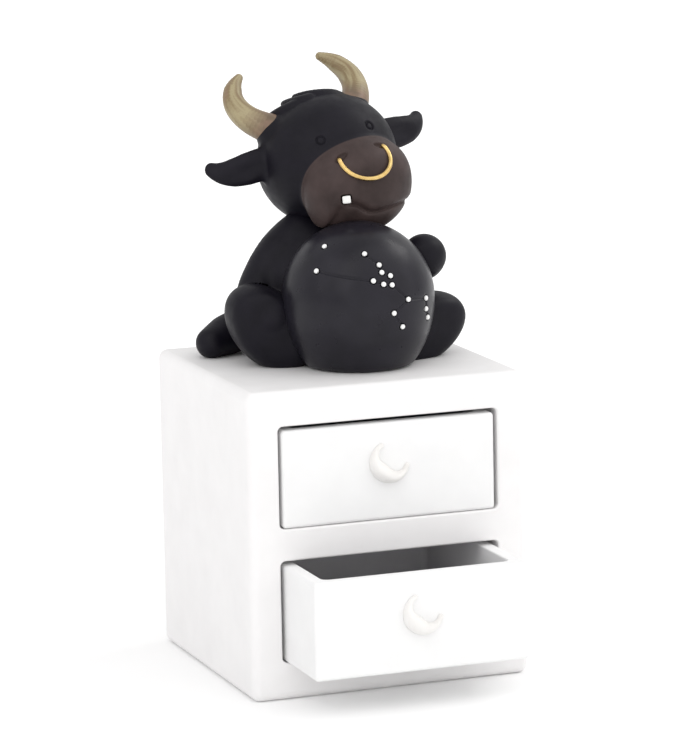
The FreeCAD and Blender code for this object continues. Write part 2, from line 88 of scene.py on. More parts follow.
# Star globe
GLOBE_CENTRE = np.array((2.2, -8.0, 83.8))
GLOBE_RADIUS = 17.1
GLOBE_LOWER_HALF = 20.705
GLOBE_FOOT_ROUNDING = 1.2
GLOBE_CELL = 0.19
STAR_RADIUS = 0.58
STAR_PIT_RADIUS = 0.8
STAR_LINE_RADIUS = 0.27
STAR_PROUD = 0.42
STAR_FULLNESS = 0.8
STAR_LEAST = 0.02
STAR_SIDES = 28
STAR_RINGS = 8
STAR_LINE_STEPS = 9
# Azimuth from the front towards +X, then elevation, in degrees
STAR_ANGLES = [
    (-60, 49), (-57, 28), (-13, 43), (-1, 33), (0, 27), (7, 24), (-8, 21), (0, 18),
    (7, 17), (20, 5), (41, 3), (41, -5), (45, -12), (7, -4), (15, -15),
]
STAR_LINES = [(1, 6), (2, 3), (3, 4), (6, 7), (7, 8), (8, 9), (9, 10), (10, 11), (11, 12), (9, 13), (13, 14)]

# Seated body, with how softly each part joins those before it
BODY_CELL = 0.3
BODY_BLENDS = {
    "torso": 1.6, "right_arm": 1.6, "left_arm": 1.6,
    "tail": 0.8, "right_leg": 0.4, "left_leg": 0.4,
}
TORSO_CENTRE = (0, 11, LID_Z + 14)
TORSO_HALF = (17, 14.5, 19)
TORSO_LEAN = 12.0
BELLY_CENTRE = (-7, 6, 84)
BELLY_HALF = (9, 8, 11)
BELLY_BLEND = 3.0
# Each leg's centre, half sizes and tilt, and the way that its sole looks
LEGS = {
    "right_leg": ((-16, 0.5, LID_Z + 8.2), (7.8, 11, 11.7), -41, (-0.28, -0.95, -0.1)),
    "left_leg": ((17.5, -2.5, LID_Z + 5.6), (7.6, 11, 12.6), 66, (0.2, -0.97, -0.1)),
}
SOLE_FLAT = 4.0
SOLE_ROUNDING = 2.2
ARM_RADII = [4.8, 4.8, 4.2, 4.2, 5.0]
TAIL_RADII = [3.4, 4.2, 4.8, 4.6, 3.6]
# Each limb's radii and its four poles
LIMBS = {
    "right_arm": (ARM_RADII, [(-5.4, 8.5, 96.7), (-15.8, 8.5, 89.6), (-21.8, 4, 80), (-16, -2.5, 80.5)]),
    "left_arm": (ARM_RADII, [(9.8, 8.5, 91.2), (20.8, 8.5, 87.4), (21.9, 2.25, 87.5), (19.7, -4, 91.3)]),
    "tail": (TAIL_RADII, [(-5, 21, 74.7), (-14, 22, 74.7), (-20, 18, 73.1), (-24.6, 15.2, 72)]),
}

# Head, in its own turned frame, with -Y forwards
HEAD_CELL = 0.2
HEAD_CENTRE = np.array((2.8, 12.0, 112.4))
HEAD_YAW = 8.0
HEAD_PITCH = -14.0
HEAD_ROLL = -9.5
HEAD_HALF = np.array((16.2, 15.2, 15.0))
HEAD_GRID = ((-29.5, -21, -20), (29.5, 16.5, 18))
# The corners of the box that each form is worked out in, and its blend
HEAD_JOINS = {
    "head": ((-19, -16, -15), (19, 16, 17), 0.5),
    "muzzle": ((-14, -21, -20), (14, 0, 5), 0.9),
    "left_ear": ((12, -4, -5), (30, 7, 9), 1.6),
    "right_ear": ((-30, -4, -5), (-12, 7, 9), 1.6),
    "hair_tuft": ((-12, -8, 8), (12, 11, 17), 0.15),
}
MOUTH_GROOVE_CUT = ((-13, -21, -17), (13, -8, -9), 0.2)
NOSTRIL_CUT = ((-8, -20, -4), (8, -12, 4), 0.4)
EYE_CUT = ((-9, -16, 2), (9, -10, 8), 0.1)
MUZZLE_PAINT_RISE = 0.6
FACE_SHIFT = -0.6
EYE_DIRECTION = (6.2, -12.9, 4.3)
EYE_SHIFT = -0.95
EYE_RING_RADIUS = 0.92
EYE_GROOVE_RADII = {1: 0.28, -1: 0.21}
EYE_GROOVE_DEPTH = 1.8
SNOUT_CENTRE = np.array((0.0, -10.9, -6.2))
SNOUT_HALF = np.array((13.0, 9.1, 9.7))
JOWL_CENTRE = (0.0, -9.7, -9.2)
JOWL_HALF = (12.8, 8.7, 9.6)
JOWL_BLEND = 2.0
# Across and up, from the mouth's corner to the far cheek
MOUTH_LINE = [
    (-11.4, -15.6), (-10.9, -13.1), (-9.4, -11), (-7.6, -10.7), (-5, -11.8),
    (-2.6, -13.8), (0.2, -14.35), (4, -14.1), (8, -13.75), (12, -13.5),
]
MOUTH_SAMPLES = 400
MOUTH_SMOOTHING = 25
JAW_STEP = 0.4
LIP_ROLL = 1.3
LIP_SOFTNESS = ((-11, -8, -6, 7, 11), (2.4, 1.4, 0.2, 0.2, 0.8))
MOUTH_GROOVE_RADIUS = 0.3
MOUTH_GROOVE_FADE = ((-8.5, -6.5, 8, 11), (0, 1, 1, 0))
MOUTH_GROOVE_DEPTH = 0.6
NOSTRIL_DIRECTION = (5.2, -6.2, 5.5)
NOSTRIL_HALF = (1.9, 0.9, 0.85)
NOSTRIL_TILT = 16.0
RING_DIRECTION = (5.6, -6.2, 5.2)
RING_WIRE_RADIUS = 0.5
RING_DROP = 6.15
RING_SWING = 0.2
RING_STANDOFF = 0.6
RING_SUNK = 3.0
RING_LEAST_SUNK = 0.6
RING_END_STEPS = 6
RING_SIDES = 20
RING_STEPS = 72
TOOTH_HALF = np.array((0.92, 0.7, 0.84))
TOOTH_EDGE_RADIUS = 0.3
TOOTH_DIRECTION = (-6.9, -6.1, -3.5)
TOOTH_ROLL = 9.5
TOOTH_GAP = 0.3
TOOTH_GAP_BLEND = 0.1
TOOTH_CELL = 0.07
HORN_ROOT_DIRECTION = (11.5, 1.5, 10.0)
BROW_RADIUS = 4.0
BROW_SUNK = 1.7
BROW_BLEND = 1.2
HORN_POLES = [(-2.6, -1.2, -1.4), (5.2, 2.6, 3.2), (4.7, 6.7, 9), (-0.2, 7.9, 12.4)]
HORN_RADII = [3.6, 3.3, 2.95, 2.6, 2.1, 1.0]
HORN_RUN_ON = 0.9
HORN_CELL = 0.2
LEFT_EAR_DIRECTION = (13.5, 0.4, 1.6)
RIGHT_EAR_DIRECTION = (13.5, 0.4, 2.6)
EAR_POLES = [(-2.5, 0, -0.2), (3.6, 0, 0.1), (8.3, 1.2, -1.5), (11.1, 3, 1.6)]
EAR_RADII = [3.4, 3.7, 3.6, 3.2, 2.5, 1.7]
EAR_FLATNESS = 0.46
EAR_HOLLOW_CENTRE = (6.8, -2.4, -0.9)
EAR_HOLLOW_HALF = (5.6, 2.0, 2.3)
EAR_HOLLOW_BLEND = 0.9
# Each lock of hair is a curve of four directions from the head's middle, from its root to its tip
HAIR_LOCKS = [
    [(7, -2.5, 12.9), (3.5, -4.4, 14.2), (-1, -4.4, 14.9), (-2.9, 0.7, 15.2)],
    [(0.5, -2.5, 14.8), (-2.5, -4.6, 14.2), (-5.2, -3, 13.9), (-5.4, 1.9, 14.4)],
    [(-2.5, -2.5, 14.4), (-5.5, -3.6, 13.4), (-8.5, -1, 12.4), (-8.8, 3.6, 12.4)],
    [(2, 4, 14), (5, 6.5, 12.8), (7.5, 6.5, 11.6), (9.5, 4, 11)],
    [(1, 4, 14.2), (-1.5, 8, 12.6), (-5, 9, 11.4), (-7.4, 7.2, 11.2)],
]
LOCK_RADII = [1.3, 2.0, 2.1, 1.7, 1.0]
LOCK_PROUD = [0.2, 0.8, 1.0, 1.2, 1.35]
LOCK_STEPS = 15
LOCK_BLEND = 0.15
LIMB_STEPS = 26
CURVE_STEPS = 104

# The camera that the photograph was taken with, fitted to the cabinet's edges
IMAGE_HEIGHT = 749
FOCAL_PIXELS = 4123.782
CAMERA_YAW = -20.2211
CAMERA_PITCH = 10.4402
CAMERA_ROLL = -1.1321
CAMERA_DISTANCE = 927.178
CAMERA_TARGET = np.array((0.66, 0, 65.146))
SENSOR_WIDTH = 36.0
CLIP_START = 0.01

# Surround, with places and sizes in metres. Each softbox has its size, place, energy and colour.
FLOOR_REACH = 6.0
SKY_STRENGTHS = (0.3, 0.85)
SKY_REACH = (-0.9, 0.3)
LAMP_AIM = (0, 0, 0.07)
OVERCAST = ((0.25, -0.87, 0.49), 1.98, (1.0, 0.995, 0.99))
OVERCAST_SPREAD = 120.0
SOFTBOXES = {
    "key": (0.35, (0.65, 0.13, 0.68), 1.05, (1.0, 0.99, 0.98)),
    "fill": (1.2, (-0.84, -0.47, 0.79), 3.0, (1.0, 0.985, 0.99)),
}

# Paints. Noise is a scale and a detail, and a bump layer a scale, a detail, a depth and a strength.
# A coat holds the noise of its wear, its roughness range, its specular level and its bump layers.
WHITE = (1.0, 1.0, 1.0, 1.0)
NOISE_RANGE = (0.3, 0.7)
# Each resin's dark and light tones, its roughness range, the scale of its grain and its specular level
RESINS = {
    "cabinet_resin": (((0.83, 0.82, 0.82), (0.86, 0.85, 0.85)), (0.55, 0.7), 1800, 0.5),
    "drawer_resin": (((0.83, 0.83, 0.83), (0.86, 0.86, 0.86)), (0.55, 0.7), 1900, 0.5),
    "moon_resin": (((0.79, 0.772, 0.75), (0.83, 0.818, 0.8)), (0.4, 0.55), 2200, 0.5),
    "globe_resin": (((0.0095, 0.0087, 0.013), (0.015, 0.0137, 0.02)), (0.27, 0.36), 2400, 0.23),
    "star_paint": (((0.8, 0.8, 0.79), (0.9, 0.9, 0.89)), (0.35, 0.5), 3000, 0.5),
    "tooth_paint": (((0.82, 0.82, 0.8), (0.9, 0.9, 0.88)), (0.3, 0.45), 3000, 0.5),
}
# Painted shade: darker tones for the deep insides of the cabinet's openings and the drawers' trays
PAINTED_SHADE_TONES = {
    "cabinet_resin": ((0.378, 0.369, 0.378), (0.42, 0.41, 0.42)),
    "drawer_resin": ((0.432, 0.423, 0.441), (0.48, 0.47, 0.49)),
}
RESIN_BLOTCHES = (140, 4)
RESIN_WEAR = (420, 3)
# Scales here are shares of the resin's own grain
RESIN_BUMPS = [(1 / 6, 2, 0.04, 0.15), (1, 3, 0.03, 0.3)]
CHARCOAL = ((0.0042, 0.0036, 0.0069), (0.0078, 0.0067, 0.0118))
BROWN = ((0.032, 0.0214, 0.0202), (0.064, 0.0443, 0.0423))
BROWN_EDGE = 0.12
BULL_BLOTCHES = (160, 4)
BULL_COAT = ((500, 3), (0.44, 0.56), 0.17, [(400, 2, 0.05, 0.15), (2600, 3, 0.03, 0.3)])
PINK = (0.24, 0.15, 0.105)
KHAKI = (0.225, 0.165, 0.085)
PALE = (0.36, 0.305, 0.18)
DUSK = (0.14, 0.1, 0.065)
HORN_STREAKS = (1.7, 4)
HORN_STREAK_STOPS = [(0.3, PINK), (0.44, KHAKI), (0.6, PALE), (0.76, KHAKI)]
HORN_ROOT_BLOTCHES = (300, 4)
HORN_ROOT_STOPS = [(0.35, DUSK), (0.65, PINK)]
HORN_ROOT_REACH = (0.16, 0.4)
HORN_COAT = ((600, 3), (0.36, 0.5), 0.35, [(300, 3, 0.08, 0.25), (2200, 3, 0.03, 0.3)])
GOLD_TONES = ((0.6, 0.4, 0.14), (0.8, 0.58, 0.24))
GOLD_BLOTCHES = (700, 4)
GOLD_COAT = ((1500, 3), (0.18, 0.32), 0.5, [(3000, 3, 0.02, 0.25)])
PAPER_TONES = ((0.94, 0.94, 0.94), (0.96, 0.96, 0.96))
PAPER_BLOTCHES = (3, 2)
PAPER_ROUGHNESS = 0.9
PAPER_SPECULAR = 0.1
PAPER_GLOWS = (0.03, 0.24)
PAPER_GLOW_REACH = (0.08, 0.5)


# Forms, as signed distances in millimetres


def turning(axis, degrees):
    """The matrix of a turn about one of the axes."""
    return np.array(Matrix.Rotation(math.radians(degrees), 3, axis))


HEAD_TURN = turning("Z", HEAD_YAW) @ turning("X", HEAD_PITCH) @ turning("Y", HEAD_ROLL)
STILL = np.identity(3)


def unit(vector):
    return np.asarray(vector, float) / np.linalg.norm(vector)


def egg(points, centre, half, turn=STILL):
    local = (points - np.asarray(centre)) @ turn
    half = np.asarray(half)
    near = np.linalg.norm(local / half, axis=-1)
    slope = np.linalg.norm(local / half**2, axis=-1)
    return near * (near - 1) / np.maximum(slope, TINY)


def ball(points, centre, radius):
    return np.linalg.norm(points - np.asarray(centre), axis=-1) - radius


def egg_surface(centre, half, direction):
    """Where a ray from an egg's centre leaves its surface, and the normal there."""
    direction = np.asarray(direction, float)
    point = np.asarray(centre) + direction / np.linalg.norm(direction / np.asarray(half))
    return point, unit(direction / np.asarray(half) ** 2)


def smooth_min(first, second, blend):
    share = np.maximum(blend - np.abs(first - second), 0) / blend
    return np.minimum(first, second) - share**2 * blend / 4


def smooth_max(first, second, blend):
    return -smooth_min(-first, -second, blend)


def bezier(poles, count):
    """Points evenly spread in parameter along a curve of four poles."""
    t = np.linspace(0, 1, count)[:, None]
    a, b, c, d = np.asarray(poles, float)
    return (1 - t) ** 3 * a + 3 * (1 - t) ** 2 * t * b + 3 * (1 - t) * t**2 * c + t**3 * d


def limb_path(poles, radii, run_on=0.0):
    """A limb's middle line, run on a little at its end, and its radius at each point."""
    line = bezier(poles, CURVE_STEPS)
    line = np.vstack([line, line[-1] + unit(line[-1] - line[-2]) * run_on])
    run = np.concatenate([[0], np.cumsum(np.linalg.norm(np.diff(line, axis=0), axis=1))])
    share = np.linspace(0, 1, LIMB_STEPS)
    points = np.stack([np.interp(share, run / run[-1], line[:, i]) for i in range(3)], axis=1)
    return points, np.interp(share, np.linspace(0, 1, len(radii)), radii)


def limb(points, path, radii):
    """Distance to a limb of round cones, with a round end."""
    nearest = np.full(points.shape[:-1], FAR)
    for start, end, first, last in zip(path, path[1:], radii, radii[1:]):
        along = end - start
        offset = points - start
        share = np.clip(offset @ along / (along @ along), 0, 1)
        gap = np.linalg.norm(offset - share[..., None] * along, axis=-1)
        nearest = np.minimum(nearest, gap - first - share * (last - first))
    return nearest


def box_round(points, reach):
    """The low and high corners of a box with room round some points."""
    return np.min(points, axis=0) - reach, np.max(points, axis=0) + reach


class Field:
    """A form sampled on a grid, built up by joining and carving, then turned into a mesh."""

    def __init__(self, low, high, cell):
        self.cell = cell
        self.low = np.asarray(low, float) - 2 * cell
        self.shape = np.ceil((np.asarray(high) - self.low) / cell).astype(int) + 3
        self.values = np.full(self.shape, FAR)

    def change(self, form, low, high, blend, mix):
        """Mixes a form into the grid, inside a box with room for the blend."""
        first = np.clip(((np.asarray(low) - MARGIN - self.low) / self.cell).astype(int), 0, self.shape - 1)
        last = np.clip(((np.asarray(high) + MARGIN - self.low) / self.cell).astype(int) + 2, 1, self.shape)
        lines = [self.low[i] + self.cell * np.arange(first[i], last[i]) for i in range(3)]
        for step, x in enumerate(lines[0], first[0]):
            y, z = np.meshgrid(lines[1], lines[2], indexing="ij")
            points = np.stack([np.full_like(y, x), y, z], axis=-1)
            part = (step, slice(first[1], last[1]), slice(first[2], last[2]))
            self.values[part] = mix(self.values[part], form(points), blend)

    def join(self, form, low, high, blend):
        self.change(form, low, high, blend, smooth_min)

    def carve(self, form, low, high, blend):
        self.change(lambda points: -form(points), low, high, blend, smooth_max)

    def sample(self, grid, points):
        """A grid's values at points, straight between its samples."""
        place = (points - self.low) / self.cell
        base = np.clip(place.astype(int), 0, self.shape - 2)
        share = place - base
        total = np.zeros(len(points))
        for corner in itertools.product((0, 1), repeat=3):
            weight = np.prod(np.where(corner, share, 1 - share), axis=1)
            total += weight * grid[tuple((base + corner).T)]
        return total

    def mesh(self):
        """Points, faces and normals of the surface where the form's distance is nought."""
        inside = self.values < 0
        corners = list(itertools.product((0, 1), repeat=3))
        span = self.shape - 1

        def corner_of(grid, corner):
            return grid[tuple(slice(c, c + n) for c, n in zip(corner, span))]

        count = sum(corner_of(inside, corner).astype(int) for corner in corners)
        active = (count > 0) & (count < len(corners))
        cells = np.argwhere(active)
        total = np.zeros((len(cells), 3))
        hits = np.zeros(len(cells))
        for first, second in itertools.combinations(corners, 2):
            step = np.subtract(second, first)
            if np.abs(step).sum() != 1:
                continue
            start = self.values[tuple((cells + first).T)]
            end = self.values[tuple((cells + second).T)]
            crossed = (start < 0) != (end < 0)
            share = (start / np.where(crossed, start - end, 1))[crossed, None]
            total[crossed] += np.asarray(first) + share * step
            hits[crossed] += 1
        points = self.low + (cells + total / hits[:, None]) * self.cell
        number = np.full(span, -1)
        number[active] = np.arange(len(cells))
        slopes = np.gradient(self.values, self.cell)
        for _ in range(SURFACE_PASSES):
            normals = np.stack([self.sample(slope, points) for slope in slopes], axis=1)
            size = np.linalg.norm(normals, axis=1, keepdims=True)
            steps = normals / np.maximum(size, LEAST_SLOPE) ** 2
            points = points - self.sample(self.values, points)[:, None] * steps
        return points, self.faces(inside, number), normals / np.maximum(size, TINY)

    def faces(self, inside, number):
        """One four-sided face round each grid edge that crosses the surface, facing outwards."""
        faces = []
        for ahead in range(3):
            left, right = (ahead + 1) % 3, (ahead + 2) % 3
            lower = [slice(1, -1)] * 3
            upper = [slice(1, -1)] * 3
            lower[ahead] = slice(0, -1)
            upper[ahead] = slice(1, None)
            start, end = inside[tuple(lower)], inside[tuple(upper)]
            edges = np.argwhere(start != end)
            origin = np.ones(3, int)
            origin[ahead] = 0
            ring = []
            for move_left, move_right in ((-1, -1), (0, -1), (0, 0), (-1, 0)):
                move = np.zeros(3, int)
                move[left] = move_left
                move[right] = move_right
                ring.append(number[tuple((edges + origin + move).T)])
            quads = np.stack(ring, axis=1)
            outwards = start[tuple(edges.T)]
            quads[~outwards] = quads[~outwards][:, ::-1]
            faces.append(quads)
        return np.vstack(faces)


# Pieces


def add_mesh(name, points, faces, material, normals=None, **values):
    """A smooth mesh object from points in millimetres, with any values kept at its points."""
    mesh = bpy.data.meshes.new(name)
    mesh.from_pydata((np.asarray(points) * MM).tolist(), [], [list(face) for face in faces])
    mesh.update()
    mesh.polygons.foreach_set("use_smooth", [True] * len(mesh.polygons))
    if normals is not None:
        mesh.normals_split_custom_set_from_vertices(np.asarray(normals).tolist())
    for key, column in values.items():
        mesh.attributes.new(key, "FLOAT", "POINT").data.foreach_set("value", column)
    mesh.materials.append(material)
    piece = bpy.data.objects.new(name, mesh)
    bpy.context.scene.collection.objects.link(piece)
    return piece


def place(piece, body, slot, *nodes):
    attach(piece, body)
    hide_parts(*nodes)


def tube(path, radii, sides):
    """Points and faces of a closed-ended tube along a path."""
    across = np.cross(path[1] - path[0], (0.0, 0.0, 1.0))
    points = []
    for middle, along, radius in zip(path, np.gradient(path, axis=0), radii):
        ahead = unit(along)
        across = unit(across - ahead * (across @ ahead))
        other = np.cross(ahead, across)
        for turn in np.linspace(0, 2 * math.pi, sides, endpoint=False):
            points.append(middle + radius * (across * math.cos(turn) + other * math.sin(turn)))
    faces = [range(sides - 1, -1, -1), range(len(points) - sides, len(points))]
    for step, side in itertools.product(range(len(path) - 1), range(sides)):
        a = step * sides + side
        b = step * sides + (side + 1) % sides
        faces.append((a, b, b + sides, a + sides))
    return np.array(points), faces


def edges_of(faces):
    """Each face's edges in order, all in one list."""
    return np.stack([faces, np.roll(faces, -1, axis=1)], axis=-1).reshape(-1, 2)


def neighbours(faces):
    """Pairs of faces that share an edge."""
    edges = np.sort(edges_of(faces), axis=1)
    face_of = np.repeat(np.arange(len(faces)), faces.shape[1])
    order = np.lexsort(edges.T)
    edges, face_of = edges[order], face_of[order]
    same = (edges[1:] == edges[:-1]).all(axis=1)
    return np.stack([face_of[:-1][same], face_of[1:][same]], axis=1)


def patches(pairs, count):
    """The lowest face of the connected patch that each face is in."""
    label = np.arange(count)
    while True:
        lowest = label[pairs].min(axis=1)
        joined = label.copy()
        np.minimum.at(joined, pairs[:, 0], lowest)
        np.minimum.at(joined, pairs[:, 1], lowest)
        joined = joined[joined]
        if (joined == label).all():
            return label
        label = joined


def drop_crumbs(faces, owner):
    """Gives every patch that is apart from its owner's largest one to a neighbour."""
    pairs = neighbours(faces)
    same = owner[pairs[:, 0]] == owner[pairs[:, 1]]
    patch = patches(pairs[same], len(faces))
    size = np.bincount(patch, minlength=len(faces))
    main = np.zeros(len(faces), bool)
    for index in np.unique(owner):
        own = patch[owner == index]
        main |= patch == own[np.argmax(size[own])]
    seams = pairs[~same]
    heirs = {}
    for first, second in np.vstack([seams, seams[:, ::-1]]):
        if main[second] and not main[first]:
            heirs[patch[first]] = owner[second]
    for crumb, heir in heirs.items():
        owner[patch == crumb] = heir
    return owner


def open_loops(faces):
    """The loops of points round a piece's open edges."""
    counts = Counter(tuple(edge) for edge in edges_of(faces).tolist())
    ahead = {}
    for (first, second), count in counts.items():
        ahead.setdefault(first, []).extend([second] * (count - counts[second, first]))
    loops = []
    for start in sorted(ahead):
        while ahead[start]:
            loop = [start]
            at = ahead[start].pop()
            while at != start:
                loop.append(at)
                at = ahead[at].pop()
            loops.append(loop)
    return loops


def close_holes(points, faces, normals, values):
    """Fans from a piece's open edges, each to a point sunk inside it, so that the piece is closed."""
    points, normals = list(points), list(normals)
    values = {key: list(column) for key, column in values.items()}
    closed = faces.tolist()
    for loop in open_loops(faces):
        ring = np.array([points[at] for at in loop])
        inwards = -np.mean([normals[at] for at in loop], axis=0)
        middle = ring.mean(axis=0)
        reach = np.linalg.norm(ring - middle, axis=1).mean()
        closed += [(after, at, len(points)) for at, after in zip(loop, loop[1:] + loop[:1])]
        points.append(middle + inwards * reach * CAP_DEPTH)
        normals.append(-unit(inwards))
        for column in values.values():
            column.append(np.mean([column[at] for at in loop]))
    return points, closed, normals, values


def split_pieces(points, faces, normals, forms, material, slots, **values):
    """Shares one casting out to the model's nodes, each face to the form that it lies nearest to."""
    middles = points[faces].mean(axis=1)
    owner = drop_crumbs(faces, np.argmin([form(middles) for form in forms.values()], axis=0))
    for index, node in enumerate(forms):
        own = faces[owner == index]
        used, local = np.unique(own, return_inverse=True)
        columns = {key: column[used] for key, column in values.items()}
        shell = close_holes(points[used], local.reshape(own.shape), normals[used], columns)
        piece = add_mesh(node + "_cast", *shell[:2], material, shell[2], **shell[3])
        place(piece, "case", slots.get(node, "body_charcoal"), node)


# Materials


class Paint:
    """The shader nodes of a material or of the surround, put together step by step."""

    def __init__(self, owner, shader):
        owner.use_nodes = True
        self.owner = owner
        self.nodes = owner.node_tree.nodes
        self.links = owner.node_tree.links
        self.inputs = self.nodes[shader].inputs

    def feed(self, sockets, values):
        """Gives each socket a plain value or the output of another node."""
        for name, value in values.items():
            if isinstance(value, bpy.types.NodeSocket):
                self.links.new(value, sockets[name])
            else:
                sockets[name].default_value = value

    def node(self, kind, inputs):
        node = self.nodes.new("ShaderNode" + kind)
        self.feed(node.inputs, inputs)
        return node

    def coords(self, kind):
        return self.nodes.new("ShaderNodeTexCoord").outputs[kind]

    def attribute(self, name):
        node = self.nodes.new("ShaderNodeAttribute")
        node.attribute_name = name
        return node.outputs["Fac"]

    def noise(self, scale, detail, where=None):
        """Noise in the object's own metres, or at the vector that is given."""
        inputs = {"Scale": scale, "Detail": detail, "Vector": where or self.coords("Object")}
        return self.node("TexNoise", inputs).outputs["Fac"]

    def ramp(self, value, stops):
        """Colours along a value from 0 to 1."""
        node = self.node("ValToRGB", {"Fac": value})
        elements = node.color_ramp.elements
        while len(elements) < len(stops):
            elements.new(0.5)
        for element, (position, colour) in zip(elements, stops):
            element.position = position
            element.color = (*colour, 1)
        return node.outputs["Color"]

    def mottle(self, blotches, tones):
        return self.ramp(blotches, list(zip(NOISE_RANGE, tones)))

    def spread(self, value, target, source=NOISE_RANGE):
        """A value moved from one range to another."""
        ends = dict(zip(("From Min", "From Max", "To Min", "To Max"), (*source, *target)))
        return self.node("MapRange", ends | {"Value": value}).outputs["Result"]

    def mix(self, share, first, second):
        node = self.nodes.new("ShaderNodeMix")
        node.data_type = "RGBA"
        self.feed(node.inputs, {"Factor": share, "A": first, "B": second})
        return node.outputs["Result"]

    def coat(self, colour, wear, roughness, specular, bumps):
        """Finishes a material: its colour, a worn sheen and layers of bumps, each upon the one before."""
        inputs = {}
        for scale, detail, depth, strength in bumps:
            inputs |= {"Distance": depth * MM, "Strength": strength, "Height": self.noise(scale, detail)}
            inputs["Normal"] = self.node("Bump", inputs).outputs["Normal"]
        finish = {
            "Base Color": colour,
            "Roughness": self.spread(self.noise(*wear), roughness),
            "Specular IOR Level": specular,
            "Normal": inputs["Normal"],
        }
        self.feed(self.inputs, finish)
        return self.owner


def new_paint(name):
    return Paint(bpy.data.materials.new(name), "Principled BSDF")


def resin(name):
    """Mottled cast resin with a fine grain, darkened by painted shade where the piece's own value says so."""
    tones, roughness, grain, specular = RESINS[name]
    paint = new_paint(name)
    blotches = paint.noise(*RESIN_BLOTCHES)
    colour = paint.mottle(blotches, tones)
    if name in PAINTED_SHADE_TONES:
        # Painted shade, blended in as the piece's own value rises towards its deep insides
        colour = paint.mix(paint.attribute("lining"), colour, paint.mottle(blotches, PAINTED_SHADE_TONES[name]))
    bumps = [(grain * share, *layer) for share, *layer in RESIN_BUMPS]
    return paint.coat(colour, RESIN_WEAR, roughness, specular, bumps)


def bull_paint():
    """Charcoal coat, with brown where the casting's own paint value is above nought."""
    paint = new_paint("bull_paint")
    blotches = paint.noise(*BULL_BLOTCHES)
    share = paint.spread(paint.attribute("paint"), (0, 1), (-BROWN_EDGE, BROWN_EDGE))
    colour = paint.mix(share, paint.mottle(blotches, CHARCOAL), paint.mottle(blotches, BROWN))
    return paint.coat(colour, *BULL_COAT)


def horn_paint():
    """Khaki horn with pale and pinkish streaks that run along it, browner at the root."""
    paint = new_paint("horn_paint")
    axes = {"X": "streak_x", "Y": "streak_y", "Z": "along"}
    where = paint.node("CombineXYZ", {axis: paint.attribute(name) for axis, name in axes.items()})
    tone = paint.ramp(paint.noise(*HORN_STREAKS, where.outputs["Vector"]), HORN_STREAK_STOPS)
    root = paint.ramp(paint.noise(*HORN_ROOT_BLOTCHES), HORN_ROOT_STOPS)
    share = paint.spread(paint.attribute("along"), (1, 0), HORN_ROOT_REACH)
    return paint.coat(paint.mix(share, tone, root), *HORN_COAT)


def gold():
    paint = new_paint("gold_wire")
    paint.feed(paint.inputs, {"Metallic": 1.0})
    colour = paint.mottle(paint.noise(*GOLD_BLOTCHES), GOLD_TONES)
    return paint.coat(colour, *GOLD_COAT)


def floor_paper():
    """White paper that glows a little away from the object, so that it stays white up to the horizon."""
    paint = new_paint("floor_paper")
    away = paint.node("VectorMath", {0: paint.coords("Object")})
    away.operation = "LENGTH"
    finish = {
        "Base Color": paint.mottle(paint.noise(*PAPER_BLOTCHES), PAPER_TONES),
        "Roughness": PAPER_ROUGHNESS,
        "Specular IOR Level": PAPER_SPECULAR,
        "Emission Color": WHITE,
        "Emission Strength": paint.spread(away.outputs["Value"], PAPER_GLOWS, PAPER_GLOW_REACH),
    }
    paint.feed(paint.inputs, finish)
    return paint.owner


# Cabinet and drawers


def rounded_rectangle(half, radius):
    """A loop round a rectangle with rounded corners: points and outward directions in its own plane."""
    points, outwards = [], []
    for corner, signs in enumerate(((1, 1), (-1, 1), (-1, -1), (1, -1))):
        for turn in np.linspace(0, math.pi / 2, CORNER_STEPS) + corner * math.pi / 2:
            way = np.array((math.cos(turn), math.sin(turn)))
            points.append((np.asarray(half) - radius) * signs + way * radius)
            outwards.append(way)
    return np.array(points), np.array(outwards)


def edge_rows(inset, level, radius, start, end, corner, lining):
    """Rows of a profile along an arc, hollow where the radius is below nought.

    A row holds its inset from the rectangle, its level, the lean of its normal from outwards to along
    the axis, the radius of the loop's corners and its share of painted shade, from 0 to 1.
    """
    rows = []
    for lean in np.radians(np.linspace(start, end, EDGE_STEPS)):
        row_inset = inset - radius * math.cos(lean)
        rows.append((row_inset, level + radius * math.sin(lean), lean, corner - row_inset, lining))
    return rows


class Shell:
    """A closed skin of rounded loops, stacked along an axis."""

    def __init__(self, across, other, axis):
        self.axes = np.array((across, other, axis), float)
        self.points, self.normals, self.linings, self.faces = [], [], [], []

    def loops(self, centre, half, rows):
        """Adds a skin over the rows of a profile and gives its first and last loops."""
        made = []
        for inset, level, lean, corner, lining in rows:
            flat, outwards = rounded_rectangle(np.asarray(half) - inset, max(corner, LEAST_RADIUS))
            first = len(self.points)
            for point, outward in zip(flat + centre, outwards):
                self.points.append((*point, level) @ self.axes)
                self.normals.append((*(outward * math.cos(lean)), math.sin(lean)) @ self.axes)
                self.linings.append(lining)
            made.append(list(range(first, len(self.points))))
        for lower, upper in zip(made, made[1:]):
            for a, b, c, d in zip(lower, lower[1:] + lower[:1], upper[1:] + upper[:1], upper):
                self.faces.append((a, b, c, d))
        return made[0], made[-1]

    def fill(self, *loops):
        """A flat face that looks along the axis, between an outer loop and the loops of its openings."""
        flat = [[Vector(self.axes @ self.points[at]) for at in loop] for loop in loops]
        numbers = list(itertools.chain(*loops))
        for triangle in tessellate_polygon(flat):
            a, b, c = (numbers[at] for at in triangle)
            facing = np.cross(self.points[b] - self.points[a], self.points[c] - self.points[a]) @ self.axes[2]
            self.faces.append((a, b, c) if facing > 0 else (a, c, b))

    def piece(self, name, material):
        return add_mesh(name, self.points, self.faces, material, self.normals, lining=self.linings)


